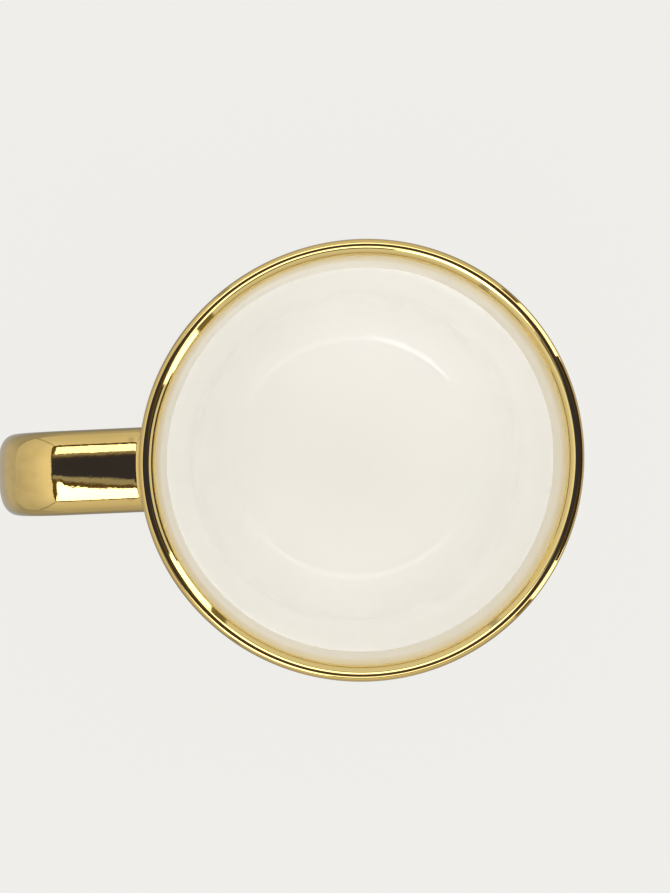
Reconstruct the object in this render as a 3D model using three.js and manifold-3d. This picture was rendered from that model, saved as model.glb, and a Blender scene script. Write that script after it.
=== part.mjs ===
// Porcelain mug with a gold finish: a straight cup, a strap handle luted on with slip, and films over both.
// Millimetres, +Z up. The origin is on the axis, in the plane of the foot ring. The handle points to -X.
import * as THREE from "three";
import { mergeVertices } from "three/addons/utils/BufferGeometryUtils.js";
import Module from "manifold-3d";

const wasm = await Module();
wasm.setup();

// Cup, measured over its films
const CUP_HEIGHT = 90;
const CUP_RADIUS = 41;
const WALL = 3.5;
const FLOOR = 5.5;
const FLOOR_FILLET = 10; // width of the hollow between floor and wall
const FLOOR_SWEEP = 20; // and its height
const LIP_OUTER_ROUND = 1.1;
const HEEL_ROUND = 4;

// Foot ring, bare porcelain, standing in from the heel
const FOOT_INSET = 1;
const FOOT_WIDTH = 3.2;
const FOOT_HEIGHT = 1.5;
const FOOT_RECESS = 0.7;
const FOOT_EDGE = 0.4;

// Films: glaze and gold stand at one thickness, and the gold runs over the lip and down inside it
const FILM = 0.3;
const BAND_DEPTH = 15.3;
const BASE_GLAZE_MARGIN = 0.6;

// Strap handle, measured over its gold: a superellipse section carried round a D
const HANDLE_WIDTH = 16.4;
const HANDLE_THICKNESS = 10;
const HANDLE_SQUARENESS = 3;
const HANDLE_REACH = 31.6; // from the wall to the outer face
const HANDLE_DROP = 10; // from the rim down to the upper arm
const HANDLE_RISE = 22; // from the foot up to the lower arm
const HANDLE_BEND = 16; // outer radius of both bends
const ROOT_FLARE = 2.2; // of the roots above and below
const ROOT_FLARE_SIDES = 0.15; // share of it to each side

// Slip seam between handle and cup, and the gap kept between fitted pieces
const SEAM = 0.8;
const FIT_GAP = 0.1;

// Facet counts
const ROUND_STEPS = 48;
const ARC_STEPS = 4;
const FILLET_STEPS = 8;
const SECTION_STEPS = 28;
const BEND_STEPS = 6;
const FLARE_STEPS = 4;
const CAP_STEPS = 3;

// Sizes that follow
const INNER_RADIUS = CUP_RADIUS - WALL;
const LIP_INNER_ROUND = WALL - LIP_OUTER_ROUND;
const FLOOR_TOP = FOOT_RECESS + FLOOR;
const FOOT_RADIUS = CUP_RADIUS - HEEL_ROUND - FOOT_INSET;
const FOOT_INNER = FOOT_RADIUS - FOOT_WIDTH;
const HALF_WIDTH = HANDLE_WIDTH / 2;
const HALF_THICKNESS = HANDLE_THICKNESS / 2;
const UPPER_ARM = CUP_HEIGHT - HANDLE_DROP - HALF_THICKNESS;
const LOWER_ARM = HANDLE_RISE + HALF_THICKNESS;
const BEND_CENTRE = -(CUP_RADIUS + HANDLE_REACH - HANDLE_BEND);
const BEND_LINE = HANDLE_BEND - HALF_THICKNESS;
const CORE_SUNK = FILM + FIT_GAP; // the handle's porcelain below its gold
const HANDLE_END = SEAM - FILM; // from the gold on the wall to the handle's end face

const GOLD = new THREE.MeshStandardMaterial({ color: 0xd9b25a, roughness: 0.08, metalness: 1 });
const PORCELAIN = new THREE.MeshStandardMaterial({ color: 0xeee9dc, roughness: 0.55, metalness: 0 });
const GLAZE = new THREE.MeshStandardMaterial({ color: 0xece7da, roughness: 0.08, metalness: 0 });
const SLIP = new THREE.MeshStandardMaterial({ color: 0xe6e0d2, roughness: 0.7, metalness: 0 });

const degrees = THREE.MathUtils.degToRad;
const point = (radius, height) => new THREE.Vector2(radius, height);

// Whole steps from 0 to 1, both ends included.
const stepsTo = (count) => Array.from({ length: count + 1 }, (_, i) => i / count);

// Points of an arc from one angle to another, both ends included; angle 0 points outwards and 90 up.
// An arc can be made taller than it is wide.
function arc(radius, height, round, from, to, count, tall = round) {
  return stepsTo(count).map((step) => {
    const angle = degrees(from + (to - from) * step);
    return point(radius + round * Math.cos(angle), height + tall * Math.sin(angle));
  });
}

// A solid of revolution about Z from a profile of (radius, height) points, which run anticlockwise.
function turned(profile) {
  return new THREE.LatheGeometry(profile, ROUND_STEPS).rotateX(Math.PI / 2);
}

// The cup's curves, each sunk below the finished surface by the given depth.
const heel = (sunk) =>
  arc(CUP_RADIUS - HEEL_ROUND, FOOT_HEIGHT + HEEL_ROUND, HEEL_ROUND - sunk, -90, 0, ARC_STEPS);
const lipOutside = (sunk) =>
  arc(CUP_RADIUS - LIP_OUTER_ROUND, CUP_HEIGHT - LIP_OUTER_ROUND, LIP_OUTER_ROUND - sunk, 0, 90, ARC_STEPS);
const lipInside = (sunk) => {
  const round = LIP_INNER_ROUND;
  return arc(INNER_RADIUS + round, CUP_HEIGHT - round, round - sunk, 90, 180, ARC_STEPS);
};
const lip = (sunk) => [...lipOutside(sunk), ...lipInside(sunk).slice(1)];
const bandEdge = (sunk) => point(INNER_RADIUS + sunk, CUP_HEIGHT - BAND_DEPTH);
const fillet = (sunk) => {
  const [width, height] = [FLOOR_FILLET + sunk, FLOOR_SWEEP + sunk];
  return arc(INNER_RADIUS - FLOOR_FILLET, FLOOR_TOP + FLOOR_SWEEP, width, 0, -90, FILLET_STEPS, height);
};
const floorCentre = (sunk) => point(0, FLOOR_TOP - sunk);

function cupBody() {
  const underside = FOOT_RECESS + FILM;
  return turned([
    point(0, underside),
    point(FOOT_INNER - FOOT_EDGE, underside),
    point(FOOT_INNER, FOOT_EDGE),
    point(FOOT_INNER + FOOT_EDGE, 0),
    point(FOOT_RADIUS - FOOT_EDGE, 0),
    point(FOOT_RADIUS, FOOT_EDGE),
    point(FOOT_RADIUS, FOOT_HEIGHT + FILM),
    ...heel(FILM),
    ...lip(FILM),
    bandEdge(FILM),
    ...fillet(FILM),
    floorCentre(FILM),
  ]);
}

function innerGlaze() {
  const backing = [floorCentre(FILM), ...fillet(FILM).reverse(), bandEdge(FILM)];
  const finished = [bandEdge(0), ...fillet(0), floorCentre(0)];
  return turned([...backing, ...finished]);
}

function baseGlaze() {
  const radius = FOOT_INNER - FOOT_EDGE - BASE_GLAZE_MARGIN;
  return turned([
    point(0, FOOT_RECESS),
    point(radius, FOOT_RECESS),
    point(radius, FOOT_RECESS + FILM),
    point(0, FOOT_RECESS + FILM),
  ]);
}

function rimGold() {
  const profile = [...lip(0), bandEdge(0), bandEdge(FILM), ...lip(FILM).reverse()];
  return turned([...profile, profile[0]]);
}

// The gold on the outer wall, open where the two seams pass through it.
function wallGold() {
  const finished = [...heel(0), lipOutside(0)[0]];
  const backing = [lipOutside(FILM)[0], ...heel(FILM).reverse()];
  const sleeve = solid(turned([...finished, ...backing, finished[0]]));
  const upperHole = solid(endPad(1, -WALL, WALL, FIT_GAP));
  const lowerHole = solid(endPad(-1, -WALL, WALL, FIT_GAP));
  return geometryOf(sleeve.subtract(upperHole).subtract(lowerHole));
}

// One ring of the superellipse section; place(across, outwards) puts each of its points in space.
function ring(halfWidth, halfThickness, place) {
  const rounded = (value) => Math.sign(value) * Math.abs(value) ** (2 / HANDLE_SQUARENESS);
  return Array.from({ length: SECTION_STEPS }, (_, i) => {
    const turn = (2 * Math.PI * i) / SECTION_STEPS;
    return place(halfWidth * rounded(Math.cos(turn)), halfThickness * rounded(Math.sin(turn)));
  });
}

// How far the root swells beyond the handle's section at a distance from the wall: a concave quarter circle.
function flare(distance) {
  const left = Math.min(Math.max(ROOT_FLARE - distance, 0), ROOT_FLARE);
  return ROOT_FLARE - Math.sqrt(ROOT_FLARE ** 2 - left ** 2);
}

// A section of an arm that follows the wall's curve at a distance from it, with its own share of the flare;
// side is 1 above and -1 below.
function wallRing(side, distance, flared, swell, share = 1) {
  const height = side > 0 ? UPPER_ARM : LOWER_ARM;
  const halfWidth = HALF_WIDTH + ROOT_FLARE_SIDES * flared + swell;
  const halfThickness = HALF_THICKNESS + flared + swell;
  return ring(share * halfWidth, share * halfThickness, (across, outwards) => {
    const wall = Math.sqrt(CUP_RADIUS ** 2 - across ** 2);
    return new THREE.Vector3(-(wall + distance), across, height + side * outwards);
  });
}

// A section on a bend about a centre height: angle 0 is the upper arm, 90 the upright and 180 the lower arm.
function bendRing(height, angle, swell) {
  return ring(HALF_WIDTH + swell, HALF_THICKNESS + swell, (across, outwards) => {
    const reach = BEND_LINE + outwards;
    const x = BEND_CENTRE - reach * Math.sin(degrees(angle));
    return new THREE.Vector3(x, across, height + reach * Math.cos(degrees(angle)));
  });
}

// The sections of the whole D from the upper root to the lower one, starting at a distance from the wall.
function handleRings(start, swell) {
  const distances = stepsTo(FLARE_STEPS).map((step) => start + (ROOT_FLARE - start) * step ** 2);
  const root = (side) => distances.map((distance) => wallRing(side, distance, flare(distance), swell));
  const bend = (height, from) => stepsTo(BEND_STEPS).map((step) => bendRing(height, from + 90 * step, swell));
  const upperBend = bend(UPPER_ARM - BEND_LINE, 0);
  const lowerBend = bend(LOWER_ARM + BEND_LINE, 90);
  return [...root(1), ...upperBend, ...lowerBend, ...root(-1).reverse()];
}

// The outline of the handle's end at a distance from the wall, grown from its middle out to the full size.
function endFace(side, distance, grow) {
  const flared = flare(HANDLE_END);
  return stepsTo(CAP_STEPS).map((share) => wallRing(side, distance, flared, grow - CORE_SUNK, share));
}

// A closed skin over sections of equal count: from a point to a point, or round and back to the first one.
function loft(rings, closesOnItself = false) {
  const spans = closesOnItself ? rings.length : rings.length - 1;
  const faces = [];
  for (let r = 0; r < spans; r++) {
    const here = r * SECTION_STEPS;
    const next = ((r + 1) % rings.length) * SECTION_STEPS;
    for (let i = 0; i < SECTION_STEPS; i++) {
      const j = (i + 1) % SECTION_STEPS;
      faces.push(here + i, next + i, next + j);
      faces.push(here + i, next + j, here + j);
    }
  }
  return new THREE.BufferGeometry().setFromPoints(rings.flat()).setIndex(faces);
}

function handleCore() {
  const cap = (side) => endFace(side, HANDLE_END, 0).slice(0, -1);
  return loft([...cap(1), ...handleRings(HANDLE_END, -CORE_SUNK), ...cap(-1).reverse()]);
}

function handleGold() {
  const finished = handleRings(FIT_GAP, 0);
  const backing = handleRings(FIT_GAP, -FILM).reverse();
  return loft([...finished, ...backing], true);
}

// A pad with the outline of the handle's end, between two distances from the wall.
function endPad(side, near, far, grow) {
  const [first, last] = side > 0 ? [near, far] : [far, near];
  return loft([...endFace(side, first, grow), ...endFace(side, last, grow).reverse()]);
}

function slipSeam(side) {
  return endPad(side, FIT_GAP - FILM, HANDLE_END - FIT_GAP, 0);
}

// A closed geometry as a solid for cutting, and a cut solid as a geometry.
function solid(geometry) {
  const bare = new THREE.BufferGeometry().setAttribute("position", geometry.getAttribute("position"));
  const merged = mergeVertices(bare.setIndex(geometry.index));
  const vertProperties = merged.getAttribute("position").array;
  const triVerts = new Uint32Array(merged.index.array);
  return new wasm.Manifold(new wasm.Mesh({ numProp: 3, vertProperties, triVerts }));
}

function geometryOf(cut) {
  const mesh = cut.getMesh();
  const geometry = new THREE.BufferGeometry();
  geometry.setAttribute("position", new THREE.BufferAttribute(mesh.vertProperties, mesh.numProp));
  return geometry.setIndex(new THREE.BufferAttribute(mesh.triVerts, 1));
}

function piece(name, geometry, material) {
  const mesh = new THREE.Mesh(geometry, material);
  mesh.name = name;
  return mesh;
}

const mug = new THREE.Group();
mug.add(
  piece("cup_body", cupBody(), PORCELAIN),
  piece("inner_glaze", innerGlaze(), GLAZE),
  piece("base_glaze", baseGlaze(), GLAZE),
  piece("wall_gold", wallGold(), GOLD),
  piece("rim_gold", rimGold(), GOLD),
  piece("handle", handleCore(), PORCELAIN),
  piece("handle_gold", handleGold(), GOLD),
  piece("upper_slip_seam", slipSeam(1), SLIP),
  piece("lower_slip_seam", slipSeam(-1), SLIP),
);

export default mug;
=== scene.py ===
# %% [markdown]
# A gold porcelain mug, dressed for the camera. The CAD frame already holds every solid at its true size,
# so this lesson never moves anything: it lays finer skins over the same places, gives each one a finish,
# and sets up the small studio in which the mug is seen from straight above. Everything is in metres, with
# +Z up along the cup's axis and the handle towards -X.

# %% Load the frame
import math

import bmesh
import bpy
import numpy as np
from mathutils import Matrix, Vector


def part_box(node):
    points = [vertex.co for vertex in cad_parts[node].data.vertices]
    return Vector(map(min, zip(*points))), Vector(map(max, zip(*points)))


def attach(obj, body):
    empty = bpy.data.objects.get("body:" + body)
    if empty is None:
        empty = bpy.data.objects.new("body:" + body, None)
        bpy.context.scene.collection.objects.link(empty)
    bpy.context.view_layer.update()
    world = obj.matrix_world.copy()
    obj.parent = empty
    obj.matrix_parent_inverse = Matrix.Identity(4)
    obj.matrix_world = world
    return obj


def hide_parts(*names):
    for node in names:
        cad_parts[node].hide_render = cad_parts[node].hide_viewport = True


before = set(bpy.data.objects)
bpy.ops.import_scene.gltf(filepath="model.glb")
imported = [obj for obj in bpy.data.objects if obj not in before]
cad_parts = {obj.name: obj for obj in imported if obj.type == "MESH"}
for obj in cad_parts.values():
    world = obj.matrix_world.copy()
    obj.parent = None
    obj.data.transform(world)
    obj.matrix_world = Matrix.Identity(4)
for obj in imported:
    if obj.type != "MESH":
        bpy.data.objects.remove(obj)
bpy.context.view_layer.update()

MM = 0.001
scene = bpy.context.scene
print("CAD nodes:", ", ".join(sorted(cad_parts)))

# %% [markdown]
# The cup is a straight cylinder of porcelain under thin films of glaze and gold. Its sizes could be typed
# in again, but reading them off the frame keeps skin and solid together: a node's box gives a radius, a
# height or the thickness of a film. Only what a box can't tell, such as how round an edge is, is written
# further down as a real size. Sizes are measured over the finish, so the porcelain lies one film below.

# %% Sizes of the cup
CUP_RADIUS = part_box("wall_gold")[1].x
CUP_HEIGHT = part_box("rim_gold")[1].z
FILM = CUP_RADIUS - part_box("cup_body")[1].x
INNER_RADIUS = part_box("inner_glaze")[1].x - FILM
print("cup: radius %.2f, wall %.2f, height %.2f, film %.2f mm"
      % tuple(v / MM for v in (CUP_RADIUS, CUP_RADIUS - INNER_RADIUS, CUP_HEIGHT, FILM)))

# %% [markdown]
# The camera hangs straight over the mug, a little off its axis, so the inner circles sit slightly off
# centre. It could be aimed by a constraint, but a camera looks down its own -Z, so one that is only turned
# about Z looks straight down already. The lens follows from two lengths: how far the camera is above the
# rim, and how tall a piece of the rim's plane fills the picture. In an upright picture Blender lays the
# sensor's width along the height. The Standard view keeps pale colours as pale as they are set.

# %% Camera
CAMERA_RISE = 260 * MM
FRAME_TALL = 164.13 * MM
AXIS_RIGHT = 5.0 * MM
AXIS_DOWN = 2.545 * MM
HANDLE_TURN = math.radians(2.6)
SENSOR = 36.0

camera = bpy.data.objects.new("camera", bpy.data.cameras.new("camera"))
camera.data.sensor_width = SENSOR
camera.data.lens = SENSOR * CAMERA_RISE / FRAME_TALL
camera.rotation_euler = (0, 0, -HANDLE_TURN)
camera.location = (
    -AXIS_RIGHT * math.cos(HANDLE_TURN) + AXIS_DOWN * math.sin(HANDLE_TURN),
    AXIS_RIGHT * math.sin(HANDLE_TURN) + AXIS_DOWN * math.cos(HANDLE_TURN),
    CUP_HEIGHT + CAMERA_RISE,
)
scene.collection.objects.link(camera)
scene.camera = camera
scene.view_settings.view_transform = "Standard"
print("camera: %.1f mm lens, %.0f mm above the floor" % (camera.data.lens, camera.location.z / MM))

# %% [markdown]
# Nodes make both the studio and the finishes. They could be joined one by one, but these few helpers keep
# each graph short enough to read: a value that is a socket is joined, and any other value is typed into the
# socket. A mask is a value from 0 to 1 that says where a colour is laid.

# %% Node helpers
def add_node(tree, kind, inputs, **settings):
    """A new node with its settings made and each named input joined to a socket or filled with a value."""
    node = tree.nodes.new(kind)
    for name, value in settings.items():
        setattr(node, name, value)
    for name, value in inputs.items():
        if isinstance(value, bpy.types.NodeSocket):
            tree.links.new(value, node.inputs[name])
        else:
            node.inputs[name].default_value = value
    return node


def calculate(tree, operation, first, second=0.0):
    """One step of arithmetic on two values."""
    return add_node(tree, "ShaderNodeMath", {0: first, 1: second}, operation=operation).outputs[0]


def both(tree, first, second):
    """The product of two masks, which is 1 where both are."""
    return calculate(tree, "MULTIPLY", first, second)


def fade(tree, value, start, stop, low=0.0, high=1.0):
    """A smooth step from low to high while the value goes from start to stop."""
    sizes = {"Value": value, "From Min": start, "From Max": stop, "To Min": low, "To Max": high}
    return add_node(tree, "ShaderNodeMapRange", sizes, interpolation_type="SMOOTHSTEP").outputs[0]


def between(tree, value, low, high, soft):
    """1 where the value lies between two limits and 0 outside, with soft edges."""
    rising = fade(tree, value, low - soft, low + soft)
    falling = fade(tree, value, high + soft, high - soft)
    return both(tree, rising, falling)


def paint(tree, over, colour, mask):
    """A colour laid over another one where the mask is 1."""
    return add_node(tree, "ShaderNodeMix", {0: mask, 6: over, 7: colour}, data_type="RGBA").outputs[2]


node_helpers = (add_node, calculate, both, fade, between, paint)
print("node helpers:", ", ".join(helper.__name__ for helper in node_helpers))

# %% [markdown]
# Mirror gold has hardly a look of its own: what one sees on it is the room. Here the room is a white tent
# with an open top. Light cards could stand around the mug for this, but painting the tent on the world
# leaves nothing in the way when the mug is seen from the side. Each direction is divided by its height, so
# that a straight edge of the roof is one limit of x/z or y/z. Divided by x instead, an upright edge of a
# side wall is one limit of y/x. The louvre gives a lamp its full strength in mirrors and less on matt faces.

# %% Directions in the tent
LEVEL = 0.001
RIGHT_BEGINS = (0.01, 0.03)
MATT_SHARE = 0.5

world = bpy.data.worlds.new("white_tent")
scene.world = world
world.use_nodes = True
tent = world.node_tree
tent.nodes.clear()
look = add_node(tent, "ShaderNodeTexCoord", {}).outputs["Generated"]
x, y, z = add_node(tent, "ShaderNodeSeparateXYZ", {0: look}).outputs
height = calculate(tent, "MAXIMUM", z, LEVEL)
along = calculate(tent, "DIVIDE", x, height)
across = calculate(tent, "DIVIDE", y, height)
on_right = fade(tent, x, *RIGHT_BEGINS)
rightward = calculate(tent, "MAXIMUM", x, LEVEL)
right_slope = calculate(tent, "DIVIDE", y, rightward)
leftward = calculate(tent, "MAXIMUM", calculate(tent, "MULTIPLY", x, -1), LEVEL)
left_slope = calculate(tent, "DIVIDE", calculate(tent, "ABSOLUTE", y), leftward)
ray = add_node(tent, "ShaderNodeLightPath", {})
louvre = fade(tent, ray.outputs["Is Glossy Ray"], 0, 1, MATT_SHARE, 1)
print("tent's directions:", len(tent.nodes), "nodes")

# %% [markdown]
# The cloth of the tent is pale. It is brighter high up on the left, where light falls on it, and dimmer at
# its foot, most of all in front. On the left a faint dark fold stands on each side. Every one of these
# could be a plane of its own, but as masks they melt into each other without an edge.

# %% Walls of the tent
PALE_GROUND = (0.871, 0.863, 0.831, 1)
SUNLIT_WALL = (1.12, 1.10, 1.05, 1)
SUNLIT_LEFT = (-0.05, -0.5)
SUNLIT_UP = (0.5, 0.85)
WALL_FOOT = (0.64, 0.63, 0.62, 1)
WALL_FOOT_UP = (0.65, 0.0)
WALL_FOOT_FORWARD = (0.7, -0.5)
WALL_FOOT_BACK_SHARE = 0.35
OPEN_DARK = (0.044, 0.047, 0.095, 1)
FOLD_SLOPES = (1.30, 1.46)
FOLD_SOFT = 0.05
FOLD_SHARE = 0.45

sunlit = both(tent, fade(tent, x, *SUNLIT_LEFT), fade(tent, z, *SUNLIT_UP))
light = paint(tent, PALE_GROUND, SUNLIT_WALL, sunlit)
frontal = fade(tent, y, *WALL_FOOT_FORWARD, WALL_FOOT_BACK_SHARE, 1.0)
light = paint(tent, light, WALL_FOOT, both(tent, fade(tent, z, *WALL_FOOT_UP), frontal))
fold = calculate(tent, "MULTIPLY", between(tent, left_slope, *FOLD_SLOPES, FOLD_SOFT), FOLD_SHARE)
light = paint(tent, light, OPEN_DARK, fold)
print("tent with its walls:", len(tent.nodes), "nodes")

# %% [markdown]
# On the right two bright panels stand beside a plain middle. They give the lip its four short highlights.
# A brown frame shows as a darker edge outside each panel, and a dark doorway opens over the middle. The
# layers go on from the widest to the narrowest: frame, panels, middle, doorway.

# %% Panels on the right
SIDE_SOFT = 0.02
PANEL_EDGE = (0.22, 0.18, 0.11, 1)
PANEL_LIGHT = (3.3, 3.3, 3.2, 1)
PANEL_FRAME_SLOPES = (-1.09, 1.07)
PANEL_SLOPES = (-0.88, 0.87)
MIDDLE_SLOPES = (-0.49, 0.41)
DOORWAY_ALONG = (0.4, 1.0)


def right_side(low, high):
    """A mask on the tent's right side between two limits of y/x."""
    return both(tent, between(tent, right_slope, low, high, SIDE_SOFT), on_right)


light = paint(tent, light, PANEL_EDGE, right_side(*PANEL_FRAME_SLOPES))
light = paint(tent, light, PANEL_LIGHT, both(tent, right_side(*PANEL_SLOPES), louvre))
middle = right_side(*MIDDLE_SLOPES)
light = paint(tent, light, PALE_GROUND, middle)
doorway = both(tent, middle, between(tent, along, *DOORWAY_ALONG, SIDE_SOFT))
light = paint(tent, light, OPEN_DARK, doorway)
print("tent with its panels:", len(tent.nodes), "nodes")

# %% [markdown]
# The top of the tent is open, and the dark room above it draws the black lines on the lip and the black
# field on the handle. One flat black could do, but it would look dead: the room is bluish in the middle of
# its left half and a warm brown elsewhere.

# %% The open roof
ROOF_SOFT = 0.012
ROOF_OPENING = (-0.58, 0.56, -0.83, 0.75)
WARM_DARK = (0.13, 0.09, 0.03, 1)
WARM_ALONG = (-0.12, -0.04)
WARM_NEAR_MIDDLE = (0.03, 0.10)
WARM_OFF_MIDDLE = (0.12, 0.26)


def roof(along_low, along_high, across_low, across_high, soft=ROOF_SOFT):
    """A mask on the tent's open top between limits of x/z and y/z."""
    length = between(tent, along, along_low, along_high, soft)
    return both(tent, length, between(tent, across, across_low, across_high, soft))


opening = roof(*ROOF_OPENING)
light = paint(tent, light, OPEN_DARK, opening)
off_middle = calculate(tent, "ABSOLUTE", across)
right_half = both(tent, fade(tent, along, *WARM_ALONG), fade(tent, off_middle, *WARM_NEAR_MIDDLE))
warm = calculate(tent, "MAXIMUM", right_half, fade(tent, off_middle, *WARM_OFF_MIDDLE))
light = paint(tent, light, WARM_DARK, both(tent, opening, warm))
print("tent with its roof:", len(tent.nodes), "nodes")

# %% [markdown]
# Strip lights hang in the opening: one at the back, and in front a bright one that is cut off at a slant
# and goes on to the right as a dimmer one. Each lights a soft grey streak beside its left half. The strips
# give the handle its two long highlights and the floor of the cup its two thin arcs. The camera itself sees
# none of the tent, only the pale ground.

# %% Strip lights
STREAK_GREY = (0.42, 0.42, 0.42, 1)
BACK_STREAK = (-0.52, -0.15, 0.22, 0.30)
BACK_STREAK_SOFT = 0.06
FRONT_STREAK = (-0.54, -0.15, -0.215, -0.135)
FRONT_STREAK_SOFT = 0.02
BACK_LIGHT = (2.9, 2.9, 2.9, 1)
BACK_STRIP = (-0.44, 0.50, 0.29, 0.61)
FRONT_LIGHT = (4.6, 4.6, 4.8, 1)
FRONT_STRIP = (-0.80, -0.10, -0.74, -0.28)
FRONT_SLANT = 0.3
FRONT_CUT = (-0.35, -0.32)
DIM_LIGHT = (2.5, 2.5, 2.5, 1)
DIM_STRIP = (-0.10, 0.50, -0.55, -0.25)

light = paint(tent, light, STREAK_GREY, roof(*BACK_STREAK, BACK_STREAK_SOFT))
light = paint(tent, light, BACK_LIGHT, both(tent, roof(*BACK_STRIP), louvre))
light = paint(tent, light, STREAK_GREY, roof(*FRONT_STREAK, FRONT_STREAK_SOFT))
askew = calculate(tent, "SUBTRACT", along, calculate(tent, "MULTIPLY", across, FRONT_SLANT))
front_strip = both(tent, roof(*FRONT_STRIP), fade(tent, askew, *FRONT_CUT))
light = paint(tent, light, FRONT_LIGHT, both(tent, front_strip, louvre))
light = paint(tent, light, DIM_LIGHT, both(tent, roof(*DIM_STRIP), louvre))
light = paint(tent, light, PALE_GROUND, ray.outputs["Is Camera Ray"])
background = add_node(tent, "ShaderNodeBackground", {"Color": light})
add_node(tent, "ShaderNodeOutputWorld", {"Surface": background.outputs[0]})
print("whole tent:", len(tent.nodes), "nodes")

# %% [markdown]
# A wide soft lamp close overhead lights the inside of the cup evenly, because a wall deep inside then still
# sees some of it. The tent alone could do this only with strips that are too bright in the gold. The lamp
# is hidden from mirror rays, so the gold shows only the tent.

# %% Overhead lamp
LAMP_HEIGHT = 550 * MM
LAMP_SIZE = 1100 * MM
LAMP_POWER = 5.9
LAMP_RIGHT = 27 * MM
LAMP_FRONT = 50 * MM

lamp = bpy.data.objects.new("overhead_lamp", bpy.data.lights.new("overhead_lamp", "AREA"))
lamp.data.size = LAMP_SIZE
lamp.data.energy = LAMP_POWER
lamp.location = (LAMP_RIGHT, -LAMP_FRONT, LAMP_HEIGHT)
lamp.visible_glossy = False
lamp.visible_camera = False
scene.collection.objects.link(lamp)
print("lamp: %.0f mm wide, %.0f mm above the floor" % (LAMP_SIZE / MM, LAMP_HEIGHT / MM))

# %% [markdown]
# The mug stands on pale paper. Under the lamp alone the paper would turn grey away from the mug, so it glows
# by itself, with a little true shade, as paper on a light table does. In mirrors its glow is lower, with
# painted
# shade on it: a painted contact shadow, darkest near the mug, and painted shadows of four flags that aren't
# there, so the gold wall shows soft upright bands. Seen from below the paper is clear, so that the underside
# can be looked at, and it lies a hair lower than the foot ring.

# %% Look of the paper
PAPER_GLOW = 0.975
PAPER_SHADE = 0.03
PAINTED_SHADOW_GLOW = 0.45
PAINTED_SHADE_FAR_GLOW = 0.70
PAINTED_SHADOW_REACH = (50 * MM, 260 * MM)
FLAGS = 4
PAINTED_FLAG_SHADE = 0.7

pale_paper = bpy.data.materials.new("pale_paper")
pale_paper.use_nodes = True
sheet = pale_paper.node_tree
sheet.nodes.clear()
on_paper = add_node(sheet, "ShaderNodeTexCoord", {}).outputs["Object"]
from_middle = add_node(sheet, "ShaderNodeVectorMath", {0: on_paper}, operation="LENGTH").outputs["Value"]
east, north, _ = add_node(sheet, "ShaderNodeSeparateXYZ", {0: on_paper}).outputs
# Painted shade for mirror rays only: four dark bands round the mug, and a contact shadow darkest near it.
around = calculate(sheet, "MULTIPLY", calculate(sheet, "ARCTAN2", north, east), FLAGS)
painted_flag_shade = fade(sheet, calculate(sheet, "COSINE", around), -1, 1, PAINTED_FLAG_SHADE, 1)
painted_shade_in_mirror = both(sheet, fade(sheet, from_middle, *PAINTED_SHADOW_REACH, PAINTED_SHADOW_GLOW, PAINTED_SHADE_FAR_GLOW), painted_flag_shade)
mirrored = add_node(sheet, "ShaderNodeLightPath", {}).outputs["Is Glossy Ray"]
strength = fade(sheet, mirrored, 0, 1, PAPER_GLOW, painted_shade_in_mirror)
glow = add_node(sheet, "ShaderNodeEmission", {"Color": PALE_GROUND, "Strength": strength})
matt = add_node(sheet, "ShaderNodeBsdfDiffuse", {"Color": PALE_GROUND})
above = add_node(sheet, "ShaderNodeMixShader", {0: PAPER_SHADE, 1: glow.outputs[0], 2: matt.outputs[0]})
clear = add_node(sheet, "ShaderNodeBsdfTransparent", {})
from_below = add_node(sheet, "ShaderNodeNewGeometry", {}).outputs["Backfacing"]
mixed = add_node(sheet, "ShaderNodeMixShader", {0: from_below, 1: above.outputs[0], 2: clear.outputs[0]})
add_node(sheet, "ShaderNodeOutputMaterial", {"Surface": mixed.outputs[0]})
print("paper's look:", len(sheet.nodes), "nodes")

# %% [markdown]
# The sheet itself is one square, large enough to reach past the picture from every side. A curved backdrop
# could stand behind it, but the paper and the world have the same pale colour, so none is needed.

# %% Sheet of paper
PAPER_HALF = 2000 * MM
PAPER_DROP = 0.2 * MM


def stage_piece(name, points, faces, material):
    """A piece of the studio, which is no part of the mug."""
    mesh = bpy.data.meshes.new(name)
    mesh.from_pydata(points.tolist(), [], faces)
    mesh.materials.append(material)
    piece = bpy.data.objects.new(name, mesh)
    scene.collection.objects.link(piece)
    return piece


corners = PAPER_HALF * np.array([[-1, -1, 0], [1, -1, 0], [1, 1, 0], [-1, 1, 0]])
stage_piece("paper", corners - (0, 0, PAPER_DROP), [(0, 1, 2, 3)], pale_paper)
print("paper: %.0f mm square" % (2 * PAPER_HALF / MM))

# %% [markdown]
# One more thing is too near to be painted on the world: a black card that stands close to the mug on the
# right, so the outside of the lip mirrors it while the far inside of the lip looks over it. It is bent
# round the cup's axis and starts just above the rim, and only mirror rays see it.

# %% Black card
CARD_BLACK = (0.035, 0.022, 0.022, 1)
CARD_ROUGHNESS = 0.9
CARD_DISTANCE = 60 * MM
CARD_LOW = 92 * MM
CARD_HIGH = 125 * MM
CARD_TURN = (-30, 25)
CARD_STEPS = 24

black = bpy.data.materials.new("black_card")
black.use_nodes = True
black.node_tree.nodes["Principled BSDF"].inputs["Base Color"].default_value = CARD_BLACK
black.node_tree.nodes["Principled BSDF"].inputs["Roughness"].default_value = CARD_ROUGHNESS

turn = np.radians(np.linspace(*CARD_TURN, CARD_STEPS + 1))
edge = CARD_DISTANCE * np.stack([np.cos(turn), np.sin(turn), 0 * turn], -1)
points = np.concatenate([edge + (0, 0, CARD_LOW), edge + (0, 0, CARD_HIGH)])
faces = [(i, i + 1, i + 2 + CARD_STEPS, i + 1 + CARD_STEPS) for i in range(CARD_STEPS)]
card = stage_piece("card", points, faces, black)
card.visible_camera = False
card.visible_diffuse = False
card.visible_shadow = False
print("card: %.0f mm from the axis" % (CARD_DISTANCE / MM))

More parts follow.
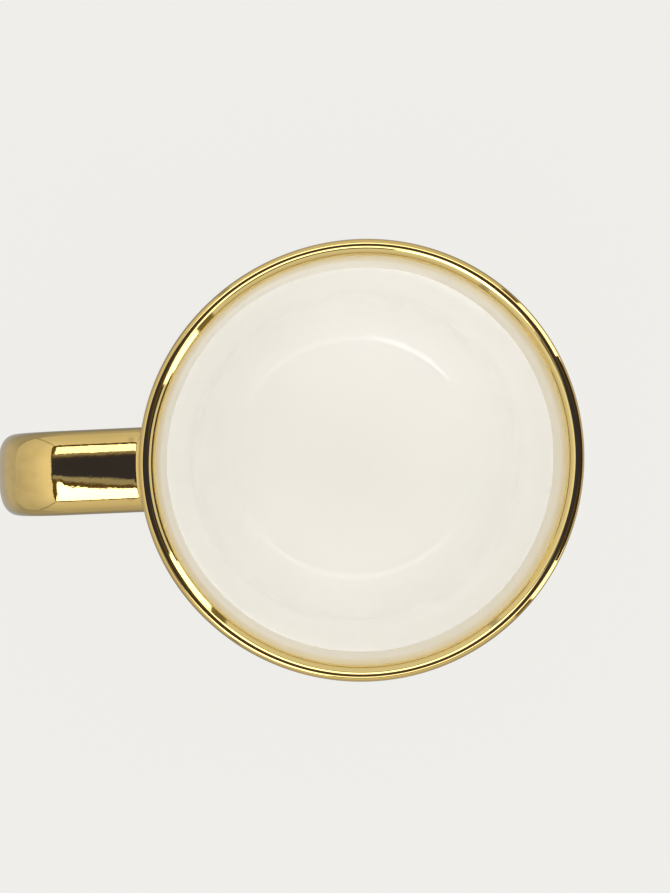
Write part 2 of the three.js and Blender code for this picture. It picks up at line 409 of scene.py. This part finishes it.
# %% [markdown]
# Now the finishes. Each one is a Principled shader fed by noise on Object coordinates. A texture could also
# follow a UV map, but the pieces lie at the origin, so their Object coordinates are metres on the mug
# itself, and a pattern keeps its real size on every piece. Noise seldom leaves its middle, so its spread is
# stretched before it is used.

# %% Finish helpers
NOISE_SPREAD = (0.3, 0.7)


def new_finish(name):
    """A material with its node tree, its Principled shader and its Object coordinates."""
    material = bpy.data.materials.new(name)
    material.use_nodes = True
    tree = material.node_tree
    place = add_node(tree, "ShaderNodeTexCoord", {}).outputs["Object"]
    return material, tree, tree.nodes["Principled BSDF"], place


def noise(tree, place, grain, detail=2.0):
    """Cloudy noise whose lumps are about one grain across."""
    inputs = {"Vector": place, "Scale": 1 / grain, "Detail": detail}
    return add_node(tree, "ShaderNodeTexNoise", inputs).outputs[0]


def uneven(tree, place, grain, low, high):
    """A value that wanders from low to high in patches of about one grain."""
    return fade(tree, noise(tree, place, grain), *NOISE_SPREAD, low, high)


def bump(tree, height, depth, under=None):
    """A normal that is pushed out by height times depth, on top of another normal if one is given."""
    inputs = {"Height": height, "Distance": depth}
    if under:
        inputs["Normal"] = under
    return add_node(tree, "ShaderNodeBump", inputs).outputs[0]


def from_axis(tree, place):
    """How far a place is from the cup's axis: the length of its x and y."""
    flat = add_node(tree, "ShaderNodeVectorMath", {0: place, 1: (1, 1, 0)}, operation="MULTIPLY").outputs[0]
    return add_node(tree, "ShaderNodeVectorMath", {0: flat}, operation="LENGTH").outputs["Value"]


finish_helpers = (new_finish, noise, uneven, bump, from_axis)
print("finish helpers:", ", ".join(helper.__name__ for helper in finish_helpers))

# %% [markdown]
# Mirror gold is brushed on over the glaze as a thin oil and fired once more, so it has the glaze's own
# gloss. A plain metal with no roughness would be too perfect: slow waves of the clay bend what it mirrors,
# a finer peel ripples it, and a clear coat stands for the gloss. Towards the inside of the lip, where the
# film is thin, the gold is paler, and at a grazing look it stays a little short of white.

# %% Gold of the cup
GOLD_DEEP = (0.66, 0.465, 0.14, 1)
GOLD_BRIGHT = (0.71, 0.505, 0.16, 1)
GOLD_PATCH = 20 * MM
PALE_GOLD = (0.745, 0.57, 0.21, 1)
PALE_REACH = (CUP_RADIUS - 0.4 * MM, CUP_RADIUS - 1.8 * MM)
GRAZING_TINT = (0.88, 0.88, 0.88, 1)
COAT_ROUGHNESS = 0.03
GOLD_ROUGHNESS = (0.03, 0.06)
GOLD_ROUGH_PATCH = 6 * MM
WAVE_GRAIN = 14 * MM
WAVE_DEPTH = 0.05 * MM
PEEL_GRAIN = 1.2 * MM
CUP_PEEL = 0.002 * MM


def mirror_gold(name, peel):
    """A gold film under a clear coat, on the clay's slow waves; peel is the depth of its own ripple."""
    material, tree, shader, place = new_finish(name)
    shader.inputs["Metallic"].default_value = 1.0
    shader.inputs["Coat Weight"].default_value = 1.0
    shader.inputs["Coat Roughness"].default_value = COAT_ROUGHNESS
    tree.links.new(uneven(tree, place, GOLD_ROUGH_PATCH, *GOLD_ROUGHNESS), shader.inputs["Roughness"])
    wavy = bump(tree, noise(tree, place, WAVE_GRAIN), WAVE_DEPTH)
    normal = bump(tree, noise(tree, place, PEEL_GRAIN), peel, wavy)
    return material, tree, shader, place, normal


cup_gold, tree, shader, place, normal = mirror_gold("cup_gold", CUP_PEEL)
shader.inputs["Specular Tint"].default_value = GRAZING_TINT
tint = paint(tree, GOLD_DEEP, GOLD_BRIGHT, noise(tree, place, GOLD_PATCH))
tint = paint(tree, tint, PALE_GOLD, fade(tree, from_axis(tree, place), *PALE_REACH))
tree.links.new(tint, shader.inputs["Base Color"])
tree.links.new(normal, shader.inputs["Normal"])
print("cup gold:", len(tree.nodes), "nodes")

# %% [markdown]
# On the handle the gold is laid on with a brush along its length. The same gold could be used again, but
# here its tint is drawn out into streaks, it peels more, dust under the film stands up as small nibs, and
# two brownish spots beside the upper root show where it was burnt.

# %% Gold of the handle
HANDLE_PEEL = 0.012 * MM
BRUSH_GRAIN = 2 * MM
BRUSH_STRETCH = 0.12
BRUSH_SPREAD = (0.35, 0.65)
BURNT_GOLD = (0.50, 0.34, 0.12, 1)
BURNT_SPOTS = [(-43.8 * MM, 6.1 * MM, 80 * MM), (-44.3 * MM, -5.3 * MM, 80 * MM)]
BURNT_SIZE = 1.2 * MM
NIB_APART = 8 * MM
NIB_SIZE = 0.3 * MM
NIB_HEIGHT = 0.04 * MM

handle_gold, tree, shader, place, normal = mirror_gold("handle_gold", HANDLE_PEEL)
brushed = add_node(tree, "ShaderNodeMapping", {"Vector": place, "Scale": (BRUSH_STRETCH, 1, 1)}).outputs[0]
tint = paint(tree, GOLD_DEEP, GOLD_BRIGHT, fade(tree, noise(tree, brushed, BRUSH_GRAIN), *BRUSH_SPREAD))
for spot in BURNT_SPOTS:
    away = add_node(tree, "ShaderNodeVectorMath", {0: place, 1: spot}, operation="DISTANCE").outputs["Value"]
    tint = paint(tree, tint, BURNT_GOLD, fade(tree, away, BURNT_SIZE, BURNT_SIZE / 2))
tree.links.new(tint, shader.inputs["Base Color"])
cells = add_node(tree, "ShaderNodeTexVoronoi", {"Vector": place, "Scale": 1 / NIB_APART}).outputs["Distance"]
nibs = bump(tree, fade(tree, cells, NIB_SIZE / NIB_APART, 0), NIB_HEIGHT, normal)
tree.links.new(nibs, shader.inputs["Normal"])
print("handle gold:", len(tree.nodes), "nodes")

# %% [markdown]
# The inside is dipped in a cream glaze, smooth as glass. One flat cream could do from afar. Here its colour
# also carries painted light and shade that even out the inside: painted light makes it paler from the middle
# of the floor out towards the hollow and the wall, and painted shade makes it greyer higher up the wall. It
# also has faint clouds, and a ripple of a few thousandths of a millimetre that only shows in its gloss.

# %% Cream glaze
FLOOR_CREAM = (0.890, 0.882, 0.855, 1)
PAINTED_LIGHT_CREAM = (0.960, 0.955, 0.934, 1)
PAINTED_LIGHT_REACH = (0, 42 * MM)
SHADE_AND_CLOUD_CREAM = (0.875, 0.868, 0.838, 1)
PAINTED_SHADE_LEVELS = (30 * MM, 65 * MM)
CLOUD_PATCH = 25 * MM
CLOUD_SHARE = (0.0, 0.1)
CREAM_SPECULAR = 0.33
CREAM_ROUGHNESS = (0.03, 0.06)
CREAM_ROUGH_PATCH = 8 * MM
CREAM_GRAIN = 9 * MM
CREAM_RIPPLE = 0.004 * MM

cream, tree, shader, place = new_finish("cream_glaze")
shader.inputs["Specular IOR Level"].default_value = CREAM_SPECULAR
level = add_node(tree, "ShaderNodeSeparateXYZ", {0: place}).outputs["Z"]
# Painted light: paler from the middle of the floor out towards the hollow and the wall.
tint = paint(tree, FLOOR_CREAM, PAINTED_LIGHT_CREAM, fade(tree, from_axis(tree, place), *PAINTED_LIGHT_REACH))
# Painted shade: greyer higher up the wall. The same colour also lays the faint clouds below.
tint = paint(tree, tint, SHADE_AND_CLOUD_CREAM, fade(tree, level, *PAINTED_SHADE_LEVELS))
tint = paint(tree, tint, SHADE_AND_CLOUD_CREAM, uneven(tree, place, CLOUD_PATCH, *CLOUD_SHARE))
tree.links.new(tint, shader.inputs["Base Color"])
tree.links.new(uneven(tree, place, CREAM_ROUGH_PATCH, *CREAM_ROUGHNESS), shader.inputs["Roughness"])
tree.links.new(bump(tree, noise(tree, place, CREAM_GRAIN), CREAM_RIPPLE), shader.inputs["Normal"])
print("cream glaze:", len(tree.nodes), "nodes")

# %% [markdown]
# Only the foot ring stays bare, because glaze there would stick to the kiln shelf. Fired porcelain without
# glaze is matt and slightly gritty, so its noise has more detail and its bump a grain finer than a
# millimetre. A painted texture could give the same, but it would need a UV map.

# %% Bare porcelain
FINE_DETAIL = 4.0
BISQUE = (0.78, 0.73, 0.64, 1)
BISQUE_GREY = (0.70, 0.66, 0.59, 1)
BISQUE_PATCH = 3 * MM
BISQUE_ROUGHNESS = (0.5, 0.75)
BISQUE_ROUGH_PATCH = 1 * MM
BISQUE_GRAIN = 0.25 * MM
BISQUE_DEPTH = 0.02 * MM

porcelain, tree, shader, place = new_finish("bare_porcelain")
tint = paint(tree, BISQUE, BISQUE_GREY, noise(tree, place, BISQUE_PATCH, FINE_DETAIL))
tree.links.new(tint, shader.inputs["Base Color"])
tree.links.new(uneven(tree, place, BISQUE_ROUGH_PATCH, *BISQUE_ROUGHNESS), shader.inputs["Roughness"])
grit = noise(tree, place, BISQUE_GRAIN, FINE_DETAIL)
tree.links.new(bump(tree, grit, BISQUE_DEPTH), shader.inputs["Normal"])
print("bare porcelain:", len(tree.nodes), "nodes")

# %% [markdown]
# Slip is clay thinned with water, the glue between handle and wall. It could share the porcelain's finish,
# but it dries coarser and a shade darker, so it gets its own colours and a deeper bump.

# %% Slip
SLIP_PALE = (0.72, 0.67, 0.57, 1)
SLIP_DARK = (0.64, 0.6, 0.52, 1)
SLIP_PATCH = 1.5 * MM
SLIP_ROUGHNESS = 0.7
SLIP_GRAIN = 0.6 * MM
SLIP_DEPTH = 0.04 * MM

slip, tree, shader, place = new_finish("joining_slip")
tint = paint(tree, SLIP_PALE, SLIP_DARK, noise(tree, place, SLIP_PATCH, FINE_DETAIL))
tree.links.new(tint, shader.inputs["Base Color"])
shader.inputs["Roughness"].default_value = SLIP_ROUGHNESS
lumps = noise(tree, place, SLIP_GRAIN, FINE_DETAIL)
tree.links.new(bump(tree, lumps, SLIP_DEPTH), shader.inputs["Normal"])
print("slip:", len(tree.nodes), "nodes")

# %% [markdown]
# No fired cup is quite round: the clay relaxes in the kiln, most at its free rim and least at its foot. A
# lattice could bend the finished pieces, but one small formula does this to every grid alike, the handle's
# too, so the pieces still fit each other and the far end of the handle stays where it was.

# %% Out of round
OVAL = 0.31 * MM
OVAL_TURN = math.radians(29.7)
THREE_SIDED = 0.12 * MM
THREE_TURN = math.radians(57.4)
HANDLE_OUT = -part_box("handle_gold")[0].x


def out_of_round(grid):
    """Points moved out by two and by three waves round the turn, in proportion to their height; the move
    is full at the wall and fades to nothing towards the axis and towards the handle's end."""
    x, y, z = np.moveaxis(grid, -1, 0)
    turn = np.arctan2(y, x)
    waves = OVAL * np.cos(2 * (turn - OVAL_TURN)) + THREE_SIDED * np.cos(3 * (turn - THREE_TURN))
    share = np.interp(np.hypot(x, y), [0, CUP_RADIUS, HANDLE_OUT], [0, 1, 0])
    move = waves * z / CUP_HEIGHT * share
    return np.stack([x + move * np.cos(turn), y + move * np.sin(turn), z], -1)


turn = np.radians(np.arange(360))
rim = np.stack([CUP_RADIUS * np.cos(turn), CUP_RADIUS * np.sin(turn), CUP_HEIGHT + 0 * turn], -1)
moved = np.hypot(*out_of_round(rim)[:, :2].T) - CUP_RADIUS
print("out of round: the rim moves by %.2f to %.2f mm" % (moved.min() / MM, moved.max() / MM))

# %% [markdown]
# Every skin here is a grid of points with faces between neighbouring rows and columns. numpy works out the
# whole grid at once, and one helper turns it into a mesh: columns always close on themselves, rows close
# where a film wraps round to where it began, and a row that shrinks to one point is merged into a pole. The
# signed volume tells whether the faces point outwards. Edges sharper than an angle stay sharp, and all else
# is shaded smooth.

# %% A mesh from a grid
SHARP = math.radians(35)
MERGE_DISTANCE = 1e-7
CUBIC_CM = 1e-6


def skin(name, grid, material, node, rows_close=False):
    """Quads between neighbouring rows and columns of a (rows, columns, 3) grid, with equal points merged."""
    rows, columns, _ = grid.shape
    i, j = np.meshgrid(np.arange(rows if rows_close else rows - 1), np.arange(columns), indexing="ij")
    below = (i + 1) % rows
    beside = (j + 1) % columns
    corners = [(i, j), (i, beside), (below, beside), (below, j)]
    quads = np.stack([row * columns + column for row, column in corners], -1)
    mesh = bpy.data.meshes.new(name)
    mesh.from_pydata(out_of_round(grid).reshape(-1, 3).tolist(), [], quads.reshape(-1, 4).tolist())
    merged = bmesh.new()
    merged.from_mesh(mesh)
    bmesh.ops.remove_doubles(merged, verts=merged.verts, dist=MERGE_DISTANCE)
    if merged.calc_volume(signed=True) < 0:
        bmesh.ops.reverse_faces(merged, faces=merged.faces)
    volume = merged.calc_volume()
    merged.to_mesh(mesh)
    merged.free()
    mesh.polygons.foreach_set("use_smooth", np.ones(len(mesh.polygons), bool))
    mesh.set_sharp_from_angle(angle=SHARP)
    mesh.materials.append(material)
    piece = bpy.data.objects.new(name, mesh)
    scene.collection.objects.link(piece)
    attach(piece, "root")
    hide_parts(node)
    print("%s: %d faces, %.2f cubic cm" % (name, len(mesh.polygons), volume / CUBIC_CM))
    return piece


print("edges stay sharp from %.0f degrees on" % math.degrees(SHARP))

# %% [markdown]
# The cup and its films are turned shapes, as from a potter's wheel: a profile of radius and height carried
# round the axis. Blender's Screw modifier could do this too. As a formula the profile's arcs keep exactly
# the radius they are given.

# %% Turned shapes
ROUND_STEPS = 288
ARC_STEPS = 20


def arc(radius, height, size, start, stop):
    """Points on a circle of a size about (radius, height), from one angle in degrees to another."""
    angle = np.radians(np.linspace(start, stop, ARC_STEPS + 1))
    return np.stack([radius + size * np.cos(angle), height + size * np.sin(angle)], -1)


def turned(profile):
    """A grid: each profile point's radius times cosine and sine of the turn, at the point's own height."""
    profile = np.concatenate([np.atleast_2d(part) for part in profile])
    turn = np.linspace(0, 2 * np.pi, ROUND_STEPS, endpoint=False)
    radius = profile[:, :1]
    height = profile[:, 1:]
    return np.stack([radius * np.cos(turn), radius * np.sin(turn), height + 0 * turn], -1)


print("one step round the rim is %.2f mm" % (2 * math.pi * CUP_RADIUS / ROUND_STEPS / MM))

# %% [markdown]
# The heel is the rounded edge on which the wall turns in towards the foot, and the lip is the edge one
# drinks from. A bevel could round them, but the lip isn't even: it is tight outside and wider inside, where
# it leans back and only slowly turns upright. That slow turn is what makes the gold inside it fade from
# pale to deep. Each function takes how deep a face lies below the finished one.

# %% Heel and lip
HEEL_ROUND = 4 * MM
HEEL_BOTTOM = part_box("wall_gold")[0].z
LIP_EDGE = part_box("wall_gold")[1].z
LIP_OUT = CUP_HEIGHT - LIP_EDGE
LIP_CREST = CUP_RADIUS - LIP_OUT
LIP_LEAN = 10
LIP_SWEEP = 28 * MM


def heel(sunk):
    """The rounded outer edge above the foot, a quarter circle sunk below the finished face."""
    return arc(CUP_RADIUS - HEEL_ROUND, HEEL_BOTTOM + HEEL_ROUND, HEEL_ROUND - sunk, -90, 0)


def lip(sunk):
    """A quarter circle outside, then inside a wider arc and a long gentle one that ends upright."""
    outside = arc(LIP_CREST, LIP_EDGE, LIP_OUT - sunk, 0, 90)
    lean = math.radians(LIP_LEAN)
    inner_round = LIP_SWEEP - (INNER_RADIUS + LIP_SWEEP - LIP_CREST) / math.cos(lean)
    drop = inner_round + (LIP_SWEEP - inner_round) * math.sin(lean)
    inside = arc(LIP_CREST, CUP_HEIGHT - inner_round, inner_round - sunk, 90, 180 - LIP_LEAN)
    sweep = arc(INNER_RADIUS + LIP_SWEEP, CUP_HEIGHT - drop, LIP_SWEEP - sunk, 180 - LIP_LEAN, 180)
    return np.concatenate([outside, inside[1:], sweep[1:]])


lip_depth = CUP_HEIGHT - lip(0)[-1, 1]
print("lip: %.2f mm round outside, upright %.2f mm below the rim inside" % (LIP_OUT / MM, lip_depth / MM))

# %% [markdown]
# Where the wall meets the floor inside, a thrown cup has a hollow that a spoon can follow. A quarter circle
# would show a line where it begins on the wall, because the gloss jumps there. This curve starts with no
# bend at all at the wall and tightens towards the floor.

# %% Hollow round the floor
FLOOR_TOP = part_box("inner_glaze")[0].z + FILM
FLOOR_FILLET = 10 * MM
FLOOR_SWEEP = 24 * MM
HOLLOW_STEPS = 48


def fillet(sunk):
    """The hollow between wall and floor: (out / wide)^2 + (down / tall)^3 = 1, which eases into the wall."""
    wide = FLOOR_FILLET + sunk
    tall = FLOOR_SWEEP + sunk
    angle = np.radians(np.linspace(0, 90, HOLLOW_STEPS + 1))
    out = INNER_RADIUS - FLOOR_FILLET + wide * np.cos(angle)
    up = FLOOR_TOP + FLOOR_SWEEP - tall * np.sin(angle) ** (2 / 3)
    return np.stack([out, up], -1)


print("floor: %.1f mm wide, %.1f mm up" % (2 * (INNER_RADIUS - FLOOR_FILLET) / MM, FLOOR_TOP / MM))

# %% [markdown]
# The porcelain cup is what the potter makes: recess, foot ring, heel, wall, lip, wall inside, hollow and
# floor in one closed profile, which starts and ends on the axis. Most of it lies under glaze and gold, but
# it is whole, as the real one is, so no film hangs on nothing. Only the foot ring shows.

# %% Porcelain cup
BASE_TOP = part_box("base_glaze")[1].z
BAND_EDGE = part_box("rim_gold")[0].z
FOOT_INSET = 1 * MM
FOOT_WIDTH = 3.2 * MM
FOOT_EDGE = 0.4 * MM
FOOT_RADIUS = CUP_RADIUS - HEEL_ROUND - FOOT_INSET
FOOT_INNER = FOOT_RADIUS - FOOT_WIDTH

skin("porcelain_cup", turned([
    (0, BASE_TOP),
    (FOOT_INNER - FOOT_EDGE, BASE_TOP),
    arc(FOOT_INNER + FOOT_EDGE, FOOT_EDGE, FOOT_EDGE, 180, 270),
    arc(FOOT_RADIUS - FOOT_EDGE, FOOT_EDGE, FOOT_EDGE, 270, 360),
    (FOOT_RADIUS, HEEL_BOTTOM + FILM),
    heel(FILM),
    lip(FILM),
    (INNER_RADIUS + FILM, BAND_EDGE),
    fillet(FILM),
    (0, FLOOR_TOP - FILM),
]), porcelain, "cup_body")

# %% [markdown]
# The glazes are two shells one film thick: one on the floor and the wall inside, up to the gold, and a disc
# in the recess under the cup. A Solidify modifier could give a sheet its thickness. Here each profile simply
# goes out along one face and back along the other, so it is closed from the start.

# %% Glazes
BASE_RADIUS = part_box("base_glaze")[1].x

skin("inner_cream_glaze", turned([
    (0, FLOOR_TOP - FILM),
    fillet(FILM)[::-1],
    (INNER_RADIUS + FILM, BAND_EDGE),
    (INNER_RADIUS, BAND_EDGE),
    fillet(0),
    (0, FLOOR_TOP),
]), cream, "inner_glaze")
skin("base_cream_glaze", turned([
    (0, BASE_TOP - FILM),
    (BASE_RADIUS, BASE_TOP - FILM),
    (BASE_RADIUS, BASE_TOP),
    (0, BASE_TOP),
]), cream, "base_glaze")

# %% [markdown]
# The gold is laid on in two goes, which meet at the outer edge of the lip: one on the wall and the heel, and
# one over the lip and down inside it, where tape gives it a sharp end. Neither reaches the axis, so both
# profiles close on themselves and become rings.

# %% Gold of wall and lip
skin("gold_wall", turned([
    heel(0),
    (CUP_RADIUS, LIP_EDGE),
    (CUP_RADIUS - FILM, LIP_EDGE),
    heel(FILM)[::-1],
]), cup_gold, "wall_gold", rows_close=True)
skin("gold_rim", turned([
    lip(0),
    (INNER_RADIUS, BAND_EDGE),
    (INNER_RADIUS + FILM, BAND_EDGE),
    lip(FILM)[::-1],
]), cup_gold, "rim_gold", rows_close=True)

# %% [markdown]
# The handle is a cast strap in the shape of a D: two level arms, two equal bends and an upright, with a
# small flare where each arm meets the wall. Its reach is read off the frame, and these are the sizes that a
# box can't tell.

# %% Sizes of the handle
HANDLE_WIDTH = 16.4 * MM
HANDLE_THICKNESS = 10 * MM
HANDLE_BEND = 16 * MM
HANDLE_DROP = 10 * MM
HANDLE_RISE = 22 * MM
UPPER_ARM = CUP_HEIGHT - HANDLE_DROP - HANDLE_THICKNESS / 2
LOWER_ARM = HANDLE_RISE + HANDLE_THICKNESS / 2
BEND_X = -(HANDLE_OUT - HANDLE_BEND)
BEND_LINE = HANDLE_BEND - HANDLE_THICKNESS / 2
print("handle: %.1f mm out from the axis, arms at %.1f and %.1f mm"
      % tuple(v / MM for v in (HANDLE_OUT, UPPER_ARM, LOWER_ARM)))

# %% [markdown]
# Cut across, the strap is neither a box nor an ellipse, but something between: a superellipse. A bevelled
# box could come near, but its flat top would mirror one even tone, while this one bends the picture gently
# from edge to edge. Its points are spread evenly along the outline, because equal angles would crowd them
# on the flats.

# %% Section of the handle
HANDLE_SQUARENESS = 3
OUTLINE_STEPS = 6000
SECTION_STEPS = 128


def section(half_width, half_thickness):
    """A superellipse |across/w|^n + |outwards/t|^n = 1 as even steps along its outline."""
    turn = np.linspace(0, 2 * np.pi, OUTLINE_STEPS + 1)
    power = 2 / HANDLE_SQUARENESS
    across = half_width * np.sign(np.cos(turn)) * np.abs(np.cos(turn)) ** power
    outwards = half_thickness * np.sign(np.sin(turn)) * np.abs(np.sin(turn)) ** power
    run = np.concatenate([[0], np.cumsum(np.hypot(np.diff(across), np.diff(outwards)))])
    even = np.linspace(0, run[-1], SECTION_STEPS, endpoint=False)
    return np.interp(even, run, across), np.interp(even, run, outwards)


widths, thicknesses = section(HANDLE_WIDTH / 2, HANDLE_THICKNESS / 2)
print("section: %.1f by %.1f mm" % (np.ptp(widths) / MM, np.ptp(thicknesses) / MM))

# %% [markdown]
# The section is carried along the D. A curve with a bevel object could do that, but its ends would be flat.
# Here the first rings are laid against the round wall, so the root follows it without a gap, and the others
# turn about the centre of a bend.

# %% Rings of the handle
ROOT_FLARE = 2.2 * MM
ROOT_FLARE_SIDES = 0.15


def flare(distance):
    """How far the root swells at a distance from the wall: a hollow quarter circle of ROOT_FLARE."""
    left = np.clip(ROOT_FLARE - distance, 0, ROOT_FLARE)
    return ROOT_FLARE - np.sqrt(ROOT_FLARE ** 2 - left ** 2)


def wall_ring(side, distance, flared, swell, share=1.0):
    """One section laid against the round wall at a distance from it; side is 1 above and -1 below."""
    half_width = HANDLE_WIDTH / 2 + ROOT_FLARE_SIDES * flared + swell
    half_thickness = HANDLE_THICKNESS / 2 + flared + swell
    across, outwards = section(share * half_width, share * half_thickness)
    height = UPPER_ARM if side > 0 else LOWER_ARM
    x = -(np.sqrt(CUP_RADIUS ** 2 - across ** 2) + distance)
    return np.stack([x, across, height + side * outwards], -1)


def bend_ring(height, angle, swell):
    """One section turned about a bend's centre by an angle in degrees: 0 is the upper arm, 90 the upright
    and 180 the lower arm."""
    across, outwards = section(HANDLE_WIDTH / 2 + swell, HANDLE_THICKNESS / 2 + swell)
    reach = BEND_LINE + outwards
    angle = math.radians(angle)
    return np.stack([BEND_X - reach * math.sin(angle), across, height + reach * math.cos(angle)], -1)


root_height = np.ptp(wall_ring(1, 0, flare(0), 0)[:, 2])
print("root: %.1f mm tall at the wall" % (root_height / MM))

# %% [markdown]
# The top of the upper arm isn't quite level: its front half has sunk a little before the bend, which makes
# the bright strip on it wider there. A sculpting brush could press it in. Three smooth steps, in height,
# across and along the arm, do the same and can be repeated.

# %% Slump of the upper arm
SLUMP = 0.30 * MM
SLUMP_ACROSS = (-0.4 * MM, 4 * MM)
SLUMP_REACH = (47 * MM, 55.5 * MM)


def smooth_step(value, start, stop):
    """0 before start and 1 after stop, with a smooth rise between them."""
    share = np.clip((value - start) / (stop - start), 0, 1)
    return share * share * (3 - 2 * share)


def slumped(grid):
    """The top of the upper arm sunk on its -Y side, where the bend begins and not at the root."""
    x, y, z = np.moveaxis(grid, -1, 0)
    on_top = smooth_step(z, UPPER_ARM, UPPER_ARM + HANDLE_THICKNESS / 4)
    share = on_top * smooth_step(-y, *SLUMP_ACROSS) * smooth_step(-x, *SLUMP_REACH)
    return np.stack([x, y, z - SLUMP * share], -1)


print("slump: %.2f mm, full from %.1f mm out on" % (SLUMP / MM, SLUMP_REACH[1] / MM))

# %% [markdown]
# The handle's gold is a sleeve: out along its face, back along its underside one film deeper, and closed at
# both roots, where it dips a hair into the wall's gold so that no slit shows.

# %% Gold sleeve of the handle
ROOT_STEPS = 24
BEND_STEPS = 36
SINK = 0.02 * MM


def handle_rings(start, swell):
    """All sections of the D from the upper root to the lower one."""
    distances = start + (ROOT_FLARE - start) * np.linspace(0, 1, ROOT_STEPS + 1) ** 2
    upper_root = [wall_ring(1, d, flare(d), swell) for d in distances]
    lower_root = [wall_ring(-1, d, flare(d), swell) for d in distances[::-1]]
    angles = np.linspace(0, 90, BEND_STEPS + 1)
    upper_bend = [bend_ring(UPPER_ARM - BEND_LINE, a, swell) for a in angles]
    lower_bend = [bend_ring(LOWER_ARM + BEND_LINE, 90 + a, swell) for a in angles]
    return slumped(np.array([*upper_root, *upper_bend, *lower_bend, *lower_root]))


skin("gold_handle", np.concatenate([handle_rings(-SINK, 0), handle_rings(-SINK, -FILM)[::-1]]),
     handle_gold, "handle_gold", rows_close=True)

# %% [markdown]
# Inside the sleeve is the cast porcelain strap. The same rings make it, a film and a small gap smaller, and
# its two ends are closed by sections that shrink to a point and follow the wall's curve.

# %% Porcelain of the handle
SLIP_SEAM = 0.8 * MM
FIT_GAP = 0.1 * MM
CORE_SUNK = FILM + FIT_GAP
HANDLE_END = SLIP_SEAM - FILM
CAP_STEPS = 8


def end_face(side, distance):
    """The sections that close an arm's end over the wall's curve, from its middle out."""
    flared = flare(HANDLE_END)
    shares = np.linspace(0, 1, CAP_STEPS + 1)
    return np.array([wall_ring(side, distance, flared, -CORE_SUNK, share) for share in shares])


skin("porcelain_handle", np.concatenate([
    end_face(1, HANDLE_END)[:-1],
    handle_rings(HANDLE_END, -CORE_SUNK),
    end_face(-1, HANDLE_END)[-2::-1],
]), porcelain, "handle")

# %% [markdown]
# Between each end of the handle and the wall lies a pad of slip, as wide as the flared end. Two such end
# faces, one on the wall and one on the handle, make a closed pad that is curved as the wall is.

# %% Slip seams
for side, where in [(1, "upper"), (-1, "lower")]:
    pad = [end_face(side, 0), end_face(side, HANDLE_END - FIT_GAP)[::-1]]
    skin(where + "_slip", np.concatenate(pad), slip, where + "_slip_seam")
